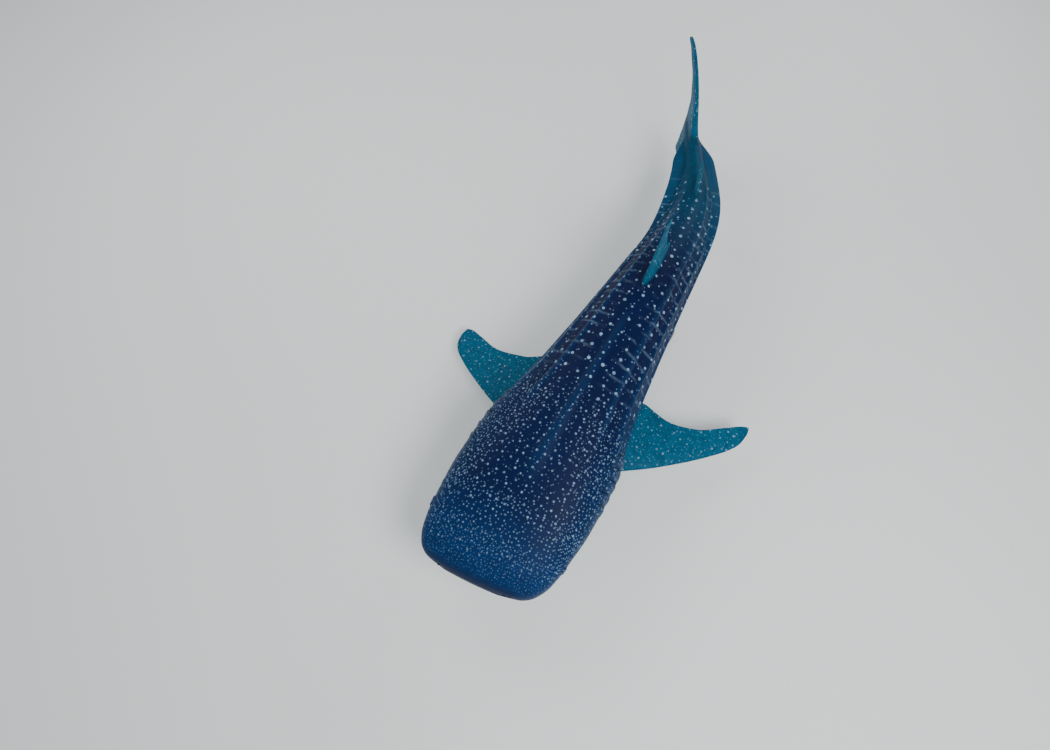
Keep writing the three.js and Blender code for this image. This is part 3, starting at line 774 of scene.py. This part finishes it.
# Measures of the straight skin that the markings follow.
TABLE_ROWS = 160
TABLE_ANGLES = RING_ANGLES[::12]
# along, and how many degrees from the mid back the pale underside starts there
PALE_EDGE = [
    (0, 101),
    (0.03, 103),
    (0.1, 112),
    (0.25, 118),
    (0.5, 116),
    (0.68, 122),
    (0.78, 160),
    (0.85, 190),
]
UPRIGHT_HALF = 0.12  # fins nearer the middle than this stand upright
FIN_OFF = 0.015  # what stands this far off the body starts to be fin
FIN_FADE = 0.05
FINS_FROM = 0.12  # no fin stands ahead of this share of the length
RIDGE_FULL = 0.003


def add_vectors(obj, name, values):
    attribute = obj.data.attributes.new(name, "FLOAT_VECTOR", "POINT")
    attribute.data.foreach_set("vector", np.ascontiguousarray(values, np.float32).ravel())


def add_floats(obj, name, values):
    attribute = obj.data.attributes.new(name, "FLOAT", "POINT")
    attribute.data.foreach_set("value", np.ascontiguousarray(values, np.float32))


def body_measures(points):
    """Along, how far round from the mid back (left positive), and how far off the body."""
    side, up = points[:, 0], points[:, 2]
    along = points[:, 1] / LENGTH
    inside = np.clip(along, 0.0, BODY_END)
    half, back, belly = half_width_at(inside), back_at(inside), belly_at(inside)
    depth = np.where(up > 0, back, belly)
    power = squareness_at(inside) / 2
    a = (np.abs(side) / LENGTH / half) ** power
    b = (np.abs(up) / LENGTH / depth) ** power
    angle = np.degrees(np.arctan2(a, np.sign(up) * b))
    surface = skin_point(inside, angle)
    off = np.hypot(side, up) - np.hypot(surface[:, 0], surface[:, 2])
    table_along = np.linspace(0, BODY_END, TABLE_ROWS)
    rings = skin_point(table_along[:, None], TABLE_ANGLES[None])
    steps = np.linalg.norm(np.diff(rings, axis=1), axis=2)
    travelled = np.concatenate([np.zeros((TABLE_ROWS, 1)), np.cumsum(steps, axis=1)], axis=1)
    row = np.interp(inside, table_along, np.arange(TABLE_ROWS))
    column = angle / 180 * (travelled.shape[1] - 1)
    r0, c0 = np.floor(row).astype(int), np.floor(column).astype(int)
    r1, c1 = np.minimum(r0 + 1, TABLE_ROWS - 1), np.minimum(c0 + 1, travelled.shape[1] - 1)
    fr, fc = row - r0, column - c0
    round_from_top = (
        travelled[r0, c0] * (1 - fr) * (1 - fc)
        + travelled[r1, c0] * fr * (1 - fc)
        + travelled[r0, c1] * (1 - fr) * fc
        + travelled[r1, c1] * fr * fc
    )
    return along, angle, round_from_top * np.where(side < 0, -1, 1), off


along, angle, round_way, off_body = body_measures(straight_points)
mesh = skin.data
normals = np.empty(len(mesh.vertices) * 3)
mesh.vertices.foreach_get("normal", normals)
normals = normals.reshape(-1, 3)

upright = np.abs(straight_points[:, 0]) < UPRIGHT_HALF
on_fin = ease((off_body - FIN_OFF) / FIN_FADE) * ease((along - FINS_FROM) / 0.05)
# The offsets keep apart the spots of upright and paired fins, and of an upright fin's two sides.
fin_out = np.where(upright, straight_points[:, 2] + 7, straight_points[:, 0] * 1.02 + 13)
fin_out = fin_out + np.where(normals[:, 0] < 0, 3.7, 0) * upright
nothing = np.zeros_like(along)
add_vectors(skin, "body_place", np.stack([along * LENGTH, round_way, nothing], -1))
add_vectors(skin, "fin_place", np.stack([straight_points[:, 1], fin_out, nothing], -1))
add_vectors(skin, "straight", straight_points)
add_floats(skin, "on_fin", on_fin)
pale_edge = np.interp(along, *zip(*PALE_EDGE))
pale_body = ease((angle - pale_edge + 15) / 28)
beside = np.abs(straight_points[:, 0]) / (half_width_at(MOUTH_CORNER) * LENGTH)
jaw_level = MOUTH_LEVEL - MOUTH_DROP * np.clip(beside, 0, 1) ** 5 - LIP_AWAY * 1.6
pale_jaw = ease(0.5 + (jaw_level - straight_points[:, 2] / LENGTH) / 0.012)
pale_body = pale_body + (pale_jaw - pale_body) * (1 - ease((along - 0.03) / 0.05))
pale_fin = ease((-normals[:, 2] - 0.05) / 0.4) * (~upright)
add_floats(skin, "pale", pale_body * (1 - on_fin) + pale_fin * on_fin * 0.9)
ridge_line = ridge_rise(np.clip(along, 0, BODY_END), angle) / RIDGE_FULL
add_floats(skin, "ridge", np.clip(ridge_line, 0, 1.2) * (1 - on_fin))

set_points(skin, pose(straight_points))
mesh.shade_smooth()


# Node helpers.
class Graph:
    """Adds nodes to one material and joins them."""

    def __init__(self, name):
        self.material = bpy.data.materials.new(name)
        self.material.use_nodes = True
        self.tree = self.material.node_tree
        self.tree.nodes.clear()
        self.output = self.tree.nodes.new("ShaderNodeOutputMaterial")
        self.shader = self.tree.nodes.new("ShaderNodeBsdfPrincipled")
        self.tree.links.new(self.shader.outputs[0], self.output.inputs["Surface"])

    def add(self, kind, inputs=(), **settings):
        node = self.tree.nodes.new(kind)
        for key, value in settings.items():
            setattr(node, key, value)
        for key, value in dict(inputs).items():
            self.put(node.inputs[key], value)
        return node

    def put(self, socket, value):
        if isinstance(value, bpy.types.NodeSocket):
            self.tree.links.new(value, socket)
        else:
            socket.default_value = value

    def math(self, operation, a, b=0.0, c=0.0, clamp=False):
        node = self.add("ShaderNodeMath", operation=operation, use_clamp=clamp)
        for socket, value in zip(node.inputs, (a, b, c)):
            self.put(socket, value)
        return node.outputs[0]

    def step(self, value, low, high):
        """0 below low, 1 above high, eased between."""
        node = self.add("ShaderNodeMapRange", interpolation_type="SMOOTHSTEP")
        for key, given in (("Value", value), ("From Min", low), ("From Max", high)):
            self.put(node.inputs[key], given)
        return node.outputs["Result"]

    def mix(self, share, a, b):
        node = self.add("ShaderNodeMix", data_type="RGBA")
        for index, given in ((0, share), (6, a), (7, b)):
            self.put(node.inputs[index], given)
        return node.outputs[2]

    def blend(self, share, a, b):
        node = self.add("ShaderNodeMix", data_type="FLOAT")
        for index, given in ((0, share), (2, a), (3, b)):
            self.put(node.inputs[index], given)
        return node.outputs[0]

    def attribute(self, name):
        return self.add("ShaderNodeAttribute", attribute_name=name)

    def noise(self, vector, scale, detail=3.0, roughness=0.55):
        node = self.add("ShaderNodeTexNoise")
        for key, given in (
            ("Vector", vector),
            ("Scale", scale),
            ("Detail", detail),
            ("Roughness", roughness),
        ):
            self.put(node.inputs[key], given)
        return node.outputs["Fac"]

    def split(self, vector):
        node = self.add("ShaderNodeSeparateXYZ", {"Vector": vector})
        return node.outputs["X"], node.outputs["Y"]

    def vector(self, operation, a, b):
        node = self.add("ShaderNodeVectorMath", operation=operation)
        self.put(node.inputs[0], a)
        if operation == "SCALE":
            self.put(node.inputs["Scale"], b)
        else:
            self.put(node.inputs[1], b)
        return node.outputs["Vector"]

    def bump(self, height, strength, distance, normal=None):
        node = self.add("ShaderNodeBump")
        self.put(node.inputs["Strength"], strength)
        self.put(node.inputs["Distance"], distance)
        self.put(node.inputs["Height"], height)
        if normal is not None:
            self.put(node.inputs["Normal"], normal)
        return node.outputs["Normal"]


def srgb(r, g, b):
    """A colour given as 0 to 255, as a linear one."""
    shares = [channel / 255 for channel in (r, g, b)]
    linear = [c / 12.92 if c <= 0.04045 else ((c + 0.055) / 1.055) ** 2.4 for c in shares]
    return (*linear, 1.0)


# The skin's markings.
SPOT_SOFT = 0.0022  # half the width of a spot's edge, in metres
BAR_PITCH = 0.12
BAR_BRIGHT = 0.15
# Colours and pairs of colours, 0 to 255.
BACK_BLUES = (1, 10, 50), (2, 22, 66)
FLANK_BLUES = (3, 44, 86), (6, 60, 103)
SNOUT_BLUE = (4, 50, 98)
# painted shade: a deep navy laid along the front edge of the snout
SNOUT_FRONT_SHADE = (1, 20, 52)
TAIL_TEAL = (2, 66, 92)
FIN_TEALS = (3, 74, 104), (5, 92, 121)
MOTTLE_BLUE = (2, 18, 44)
RIDGE_BLUE = (12, 66, 108)
SPOT_COLOUR = (146, 182, 212)
BELLY_WHITES = (176, 192, 198), (214, 220, 216)


def spots(g, place, spacing, randomness, radius, vary, strength, zone):
    """Round spots in cells of the given spacing, kept where zone(along, round, chance) is 1."""
    cells = g.vector("SCALE", place, 1 / spacing)
    voronoi = g.add(
        "ShaderNodeTexVoronoi",
        {"Vector": cells, "Scale": 1.0, "Randomness": randomness},
        voronoi_dimensions="2D",
    )
    colour = g.add("ShaderNodeSeparateColor", {"Color": voronoi.outputs["Color"]})
    size = g.math("MULTIPLY_ADD", colour.outputs[0], vary * 2, radius - vary)
    centre = g.vector("SCALE", voronoi.outputs["Position"], spacing)
    along, around = g.split(centre)
    keep = g.math("GREATER_THAN", zone(along, around, colour.outputs[1]), 0.5)
    edge = g.math("SUBTRACT", size, voronoi.outputs["Distance"])
    soft = SPOT_SOFT / spacing
    dot = g.step(edge, -soft, soft)
    bright = g.math("MULTIPLY_ADD", colour.outputs[2], 0.5 * strength, 0.5 * strength)
    return g.math("MULTIPLY", g.math("MULTIPLY", dot, keep), bright)


def skin_material():
    g = Graph("spotted_skin")
    body = g.attribute("body_place").outputs["Vector"]
    fin = g.attribute("fin_place").outputs["Vector"]
    straight = g.attribute("straight").outputs["Vector"]
    on_fin = g.attribute("on_fin").outputs["Fac"]
    pale = g.attribute("pale").outputs["Fac"]
    ridge = g.attribute("ridge").outputs["Fac"]
    along, around = g.split(body)
    away = g.math("ABSOLUTE", around)

    def band(low, high, soft=0.12):
        def zone(at, round_at, chance):
            jitter = g.math("MULTIPLY_ADD", chance, soft, at)
            after = g.math("GREATER_THAN", jitter, low)
            before = g.math("LESS_THAN", jitter, high)
            return g.math("MULTIPLY", after, before)

        return zone

    def head_sides(at, round_at, chance):
        edge = g.math("MULTIPLY_ADD", at, -0.28, 0.6)
        out = g.math("SUBTRACT", g.math("ABSOLUTE", round_at), edge)
        out = g.math("MULTIPLY_ADD", chance, 0.16, out)
        near = g.math("LESS_THAN", at, 1.5)
        return g.math("MULTIPLY", g.math("GREATER_THAN", out, 0.08), near)

    # Each row: spacing, randomness, radius and its spread in cells, brightness, zone.
    layers = [
        spots(g, body, 0.024, 0.75, 0.15, 0.05, 0.34, band(-1, 0.4)),
        spots(g, body, 0.037, 0.68, 0.15, 0.05, 0.46, band(0.26, 0.72)),
        spots(g, body, 0.047, 0.8, 0.09, 0.04, 0.3, band(0.62, 1.75)),
        spots(g, body, 0.068, 0.5, 0.112, 0.035, 0.62, band(0.6, 1.75)),
        spots(g, body, 0.036, 0.75, 0.15, 0.05, 0.5, head_sides),
        spots(g, body, 0.125, 0.45, 0.095, 0.03, 0.85, band(1.72, 4.3)),
        spots(g, body, 0.066, 0.9, 0.075, 0.05, 0.5, band(1.6, 4.1, 0.3)),
    ]
    body_spots = layers[0]
    for layer in layers[1:]:
        body_spots = g.math("MAXIMUM", body_spots, layer)

    wobble = g.noise(straight, 2.6, 2.0)
    shift = g.math("MULTIPLY_ADD", wobble, 0.9, -0.7)
    column = g.math("MULTIPLY_ADD", along, 1 / BAR_PITCH, shift)
    near_line = g.math("ABSOLUTE", g.math("SUBTRACT", g.math("FRACT", column), 0.5))
    line = g.step(near_line, 0.17, 0.02)
    broken = g.step(g.noise(straight, 9.0, 3.0), 0.36, 0.62)
    on_trunk = g.math("MULTIPLY", g.step(along, 1.6, 2.0), g.step(along, 4.7, 3.9))
    off_middle = g.step(away, 0.06, 0.22)
    bar_zone = g.math("MULTIPLY", on_trunk, off_middle)
    bars = g.math("MULTIPLY", g.math("MULTIPLY", line, broken), bar_zone)

    def everywhere(at, round_at, chance):
        return 1.0

    fin_spots = g.math(
        "MAXIMUM",
        spots(g, fin, 0.075, 0.85, 0.09, 0.05, 0.6, everywhere),
        spots(g, fin, 0.04, 0.95, 0.09, 0.05, 0.4, everywhere),
    )
    body_marks = g.math("MAXIMUM", body_spots, g.math("MULTIPLY", bars, BAR_BRIGHT))
    marks = g.blend(on_fin, body_marks, fin_spots)

    broad = g.noise(straight, 1.3, 3.0)
    fine = g.noise(straight, 16.0, 4.0, 0.6)
    flank = g.step(away, 0.32, 0.95)
    back = g.mix(broad, *(srgb(*blue) for blue in BACK_BLUES))
    flank_blue = g.mix(broad, *(srgb(*blue) for blue in FLANK_BLUES))
    base = g.mix(flank, back, flank_blue)
    snout = g.step(along, 0.75, 0.1)
    base = g.mix(g.math("MULTIPLY", snout, 0.75), base, srgb(*SNOUT_BLUE))
    # Painted shade: the front edge of the snout darkens to deep navy, as if its front face were in
    # shadow.
    rim = g.step(along, 0.07, 0.0)
    base = g.mix(g.math("MULTIPLY", rim, 0.7), base, srgb(*SNOUT_FRONT_SHADE))
    tail = g.step(along, 2.9, 4.3)
    base = g.mix(g.math("MULTIPLY", tail, 0.85), base, srgb(*TAIL_TEAL))
    base = g.mix(on_fin, base, g.mix(broad, *(srgb(*teal) for teal in FIN_TEALS)))
    base = g.mix(g.math("MULTIPLY", g.step(fine, 0.35, 0.7), 0.3), base, srgb(*MOTTLE_BLUE))
    base = g.mix(g.math("MULTIPLY", ridge, 0.25), base, srgb(*RIDGE_BLUE))
    marks = g.math("MULTIPLY", marks, g.step(along, 0.02, 0.11))
    spotted = g.mix(g.math("MULTIPLY", marks, 0.95), base, srgb(*SPOT_COLOUR))
    ragged = g.math("ADD", pale, g.math("MULTIPLY_ADD", g.noise(straight, 5.0, 3.0), 1.1, -0.55))
    below = g.math("MULTIPLY", g.step(ragged, 0.2, 0.85), g.step(pale, 0.0, 0.3))
    white = g.mix(g.noise(straight, 4.0, 3.0), *(srgb(*tone) for tone in BELLY_WHITES))
    g.put(g.shader.inputs["Base Color"], g.mix(below, spotted, white))

    g.shader.inputs["Specular IOR Level"].default_value = 0.1
    gloss = g.blend(g.noise(straight, 5.0, 4.0), 0.42, 0.6)
    g.put(g.shader.inputs["Roughness"], g.blend(marks, gloss, 0.5))
    denticles = g.add("ShaderNodeTexVoronoi", {"Vector": straight, "Scale": 210.0})
    grain = g.bump(denticles.outputs["Distance"], 0.25, 0.0008)
    creases = g.bump(g.noise(straight, 38.0, 5.0, 0.65), 0.3, 0.002, grain)
    g.put(g.shader.inputs["Normal"], g.bump(marks, 0.25, 0.0009, creases))
    return g.material


def mouth_material():
    g = Graph("mouth_inside")
    straight = g.attribute("straight").outputs["Vector"]
    tone = g.noise(straight, 30.0, 4.0)
    g.put(g.shader.inputs["Base Color"], g.mix(tone, srgb(20, 34, 48), srgb(44, 58, 70)))
    g.put(g.shader.inputs["Roughness"], g.blend(tone, 0.3, 0.5))
    g.put(g.shader.inputs["Normal"], g.bump(tone, 0.4, 0.003))
    return g.material


skin.data.materials.clear()
coat = skin_material()
for material in (coat, coat, mouth_material()):
    skin.data.materials.append(material)
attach(skin, "root")
flesh = [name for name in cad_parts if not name.startswith(("stand_", "eye_"))]
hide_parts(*flesh)


# Eyes.
def eye_material():
    g = Graph("eye")
    view = g.attribute("gaze").outputs["Fac"]
    grain = g.noise(g.attribute("local").outputs["Vector"], 260.0, 4.0)
    iris = g.mix(grain, srgb(24, 30, 34), srgb(64, 72, 70))
    pupil = g.step(view, 0.93, 0.945)
    colour = g.mix(g.step(view, 0.62, 0.72), srgb(104, 112, 112), iris)
    colour = g.mix(pupil, colour, srgb(2, 3, 4))
    g.put(g.shader.inputs["Base Color"], colour)
    g.shader.inputs["Roughness"].default_value = 0.06
    g.shader.inputs["Coat Weight"].default_value = 1.0
    g.shader.inputs["Coat Roughness"].default_value = 0.02
    return g.material


EYE_GAZE = (0.985, -0.12, 0.1)  # for the left eye; the right one looks the other way
eye_paint = eye_material()
for name, centre, sign in (("eye_left", eye_centres[0], 1), ("eye_right", eye_centres[1], -1)):
    eye = make_ball(name + "_ball", centre, EYE_RADIUS * LENGTH, 0)
    local = mesh_points(eye) - centre
    gaze_way = np.array(EYE_GAZE) * (sign, 1, 1)
    gaze = local @ (gaze_way / np.linalg.norm(gaze_way)) / (EYE_RADIUS * LENGTH)
    add_vectors(eye, "local", local)
    add_floats(eye, "gaze", gaze)
    set_points(eye, pose(mesh_points(eye)))
    eye.data.materials.append(eye_paint)
    eye.data.shade_smooth()
    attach(eye, "root")
    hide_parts(name)


# The stand.
def stand_material():
    g = Graph("stand_paint")
    place = g.add("ShaderNodeTexCoord").outputs["Object"]
    speckle = g.noise(place, 420.0, 3.0, 0.7)
    cloud = g.noise(place, 3.0, 3.0)
    g.put(g.shader.inputs["Base Color"], g.mix(cloud, srgb(92, 95, 98), srgb(112, 115, 118)))
    g.put(g.shader.inputs["Roughness"], g.blend(cloud, 0.42, 0.58))
    g.put(g.shader.inputs["Normal"], g.bump(speckle, 0.2, 0.0006))
    return g.material


BASE_LENGTH = 2.1
BASE_WIDTH = 0.72
BASE_THICK = 0.06
BASE_CORNER = 0.16
BASE_BEVEL = 0.012
CORNER_POINTS = 24
ROD_RADIUS = 0.055
COLLAR_RADIUS = 0.095
COLLAR_HEIGHT = 0.022
COLLAR_ROUND = 0.01
ROD_FILLET = 0.012
ROD_SUNK = 0.012  # how far a rod reaches into the body, past its solid's top
ROD_SIDES = 64
RODS = {"stand_rod_front": 0.21, "stand_rod_rear": 0.49}
SHARP_DEG = 35
GAP = 0.0003


def rounded_ring(inset, height):
    x, y, r = BASE_WIDTH / 2, BASE_LENGTH / 2, BASE_CORNER
    ring = []
    for corner, (sx, sy) in enumerate(((1, 1), (-1, 1), (-1, -1), (1, -1))):
        for turn in np.linspace(0, math.pi / 2, CORNER_POINTS):
            way = turn + corner * math.pi / 2
            ring.append(
                (
                    sx * (x - r) + math.cos(way) * (r - inset),
                    sy * (y - r) + math.sin(way) * (r - inset),
                    height,
                )
            )
    return ring


def base_rings():
    """The rings of a flat plate whose edges are rounded at the bottom and the top."""
    turns = np.linspace(0, math.pi / 2, 7)
    bevels = [(BASE_BEVEL * (1 - math.sin(a)), BASE_BEVEL * (1 - math.cos(a))) for a in turns]
    bottom = [rounded_ring(inset, height) for inset, height in bevels]
    top = [rounded_ring(height, BASE_THICK - inset) for inset, height in bevels]
    return bottom + top


def rod_rings(x, y, top):
    """The rings of a rod with a round collar at its foot and a small fillet above that."""
    foot = BASE_THICK + GAP
    collar_top = foot + COLLAR_HEIGHT
    turns = np.linspace(0, math.pi / 2, 6)
    profile = [(COLLAR_RADIUS, foot), (COLLAR_RADIUS, foot + COLLAR_HEIGHT * 0.5)]
    for a in turns:
        inward, downward = COLLAR_ROUND * (1 - math.cos(a)), COLLAR_ROUND * (1 - math.sin(a))
        profile.append((COLLAR_RADIUS - inward, collar_top - downward))
    for a in turns:
        outward, upward = ROD_FILLET * (1 - math.sin(a)), ROD_FILLET * (1 - math.cos(a))
        profile.append((ROD_RADIUS + outward, collar_top + upward))
    profile.append((ROD_RADIUS, top))
    around = np.linspace(0, 2 * math.pi, ROD_SIDES, endpoint=False)
    return [
        np.stack([x + r * np.cos(around), y + r * np.sin(around), np.full_like(around, z)], -1)
        for r, z in profile
    ]


paint = stand_material()
stand_pieces = [("stand_base", loft_mesh("stand_plate", base_rings()))]
for node, along_rod in RODS.items():
    x, y, _ = pose([[0, along_rod * LENGTH, 0]])[0]
    _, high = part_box(node)
    stand_pieces.append((node, loft_mesh(node + "_bar", rod_rings(x, y, high[2] + ROD_SUNK))))
for node, piece in stand_pieces:
    piece.data.materials.append(paint)
    piece.data.shade_smooth()
    piece.data.set_sharp_from_angle(angle=math.radians(SHARP_DEG))
    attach(piece, "root")
    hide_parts(node)

# Floor, light and camera.
FLOOR_SIZE = 400.0
LIGHTS_AIM = (0, 0, 0.8)
floor_mesh = bpy.data.meshes.new("floor")
edge = FLOOR_SIZE / 2
floor_corners = [(-edge, -edge, 0), (edge, -edge, 0), (edge, edge, 0), (-edge, edge, 0)]
floor_mesh.from_pydata(floor_corners, [], [(0, 1, 2, 3)])
floor = bpy.data.objects.new("floor", floor_mesh)
bpy.context.scene.collection.objects.link(floor)
floor_graph = Graph("floor")
floor_graph.shader.inputs["Base Color"].default_value = (0.82, 0.84, 0.84, 1)
floor_graph.shader.inputs["Roughness"].default_value = 0.8
floor_mesh.materials.append(floor_graph.material)

world = bpy.data.worlds.new("studio")
world.use_nodes = True
world.node_tree.nodes["Background"].inputs["Color"].default_value = (0.93, 0.97, 1.0, 1)
world.node_tree.nodes["Background"].inputs["Strength"].default_value = 0.6
bpy.context.scene.world = world


def area_light(name, at, size, power):
    light = bpy.data.lights.new(name, "AREA")
    light.shape = "DISK"
    light.size = size
    light.energy = power
    lamp = bpy.data.objects.new(name, light)
    lamp.location = at
    lamp.rotation_euler = (Vector(LIGHTS_AIM) - Vector(at)).to_track_quat("-Z", "Y").to_euler()
    bpy.context.scene.collection.objects.link(lamp)


area_light("key", (4.5, -2.5, 7.5), 4.0, 520)
area_light("fill", (-6.0, 1.0, 6.0), 5.0, 200)
area_light("rim", (0.5, 7.5, 4.5), 3.5, 110)

CAMERA_AT = (0.6732, -2.4288, AXIS_HEIGHT + 5.6394)
CAMERA_LOOKS = (-0.1985, 0.3196, -0.9265)
CAMERA_LENS = 23.76
camera_data = bpy.data.cameras.new("camera")
camera_data.lens = CAMERA_LENS
camera_data.sensor_width = 36
camera_data.clip_end = 200
camera = bpy.data.objects.new("camera", camera_data)
camera.location = CAMERA_AT
camera.rotation_euler = Vector(CAMERA_LOOKS).to_track_quat("-Z", "Y").to_euler()
bpy.context.scene.collection.objects.link(camera)
bpy.context.scene.camera = camera
